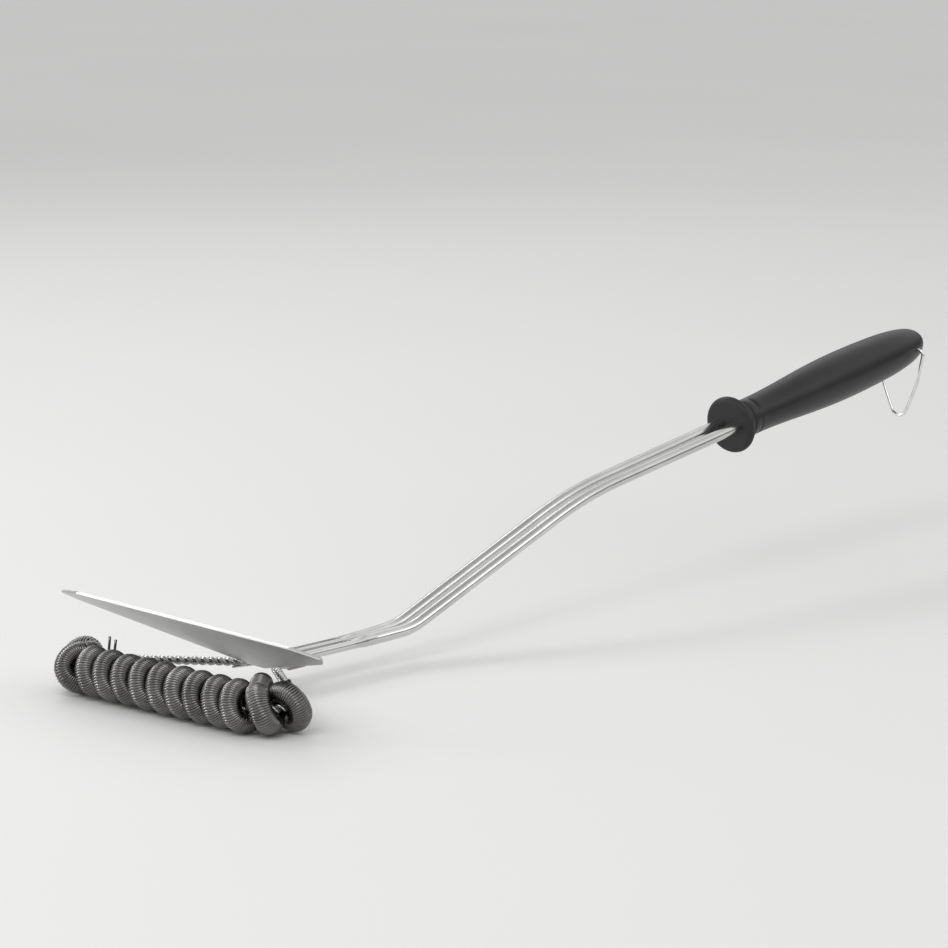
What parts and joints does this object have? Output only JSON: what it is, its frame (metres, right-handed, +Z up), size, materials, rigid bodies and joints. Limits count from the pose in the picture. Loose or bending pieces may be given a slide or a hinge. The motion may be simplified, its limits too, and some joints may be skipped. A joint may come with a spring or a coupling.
{
  "type": "grill cleaning brush",
  "caption": "Long-handled grill brush with a coiled spring-rope scrubbing head, a wide steel scraper, a bent two-rod shaft, a hand guard, a moulded grip and a wire hanging loop.",
  "frame": {"origin": "on the surface under the head, at the bottom centre of the whole brush's box", "axes": "+X from the head towards the grip's butt, +Y to the left of the hand that holds it, +Z up off the surface that the head rests on"},
  "size_m": [0.5903, 0.1704, 0.1188],
  "materials": {
    "polished_steel": "polished round stainless rod",
    "satin_steel": "satin rolled stainless sheet, fine grain",
    "frame_wire": "drawn stainless wire, twisted",
    "spring_rope": "close-wound stainless spring wire",
    "weld_metal": "weld bead, slightly heat-tinted",
    "guard_plastic": "fine matt moulded black",
    "grip_plastic": "satin moulded black",
    "loop_wire": "bright drawn wire"
  },
  "bodies": {
    "brush": {"shaft_rod_left": "polished_steel", "shaft_rod_right": "polished_steel", "scraper_plate": "satin_steel", "frame_wire_upper": "frame_wire", "frame_wire_lower": "frame_wire", "scrub_coil_front": "spring_rope", "scrub_coil_left": "spring_rope", "scrub_coil_right": "spring_rope", "tang_crossbar": "weld_metal", "weld_shaft_seam": "weld_metal", "weld_scraper_left": "weld_metal", "weld_scraper_right": "weld_metal", "weld_frame_left": "weld_metal", "weld_frame_right": "weld_metal", "weld_tang_left": "weld_metal", "weld_tang_right": "weld_metal", "hand_guard": "guard_plastic", "neck_ring": "grip_plastic", "handle_grip": "grip_plastic"},
    "loop": {"hanging_loop": "loop_wire"}
  },
  "joints": [
    {"name": "loop_swing", "type": "hinge", "parent": "brush", "child": "loop", "pos_m": [0.27775, 0, 0.10828], "axis": [0, 1, 0], "range_deg": [-253, 55]}
  ]
}
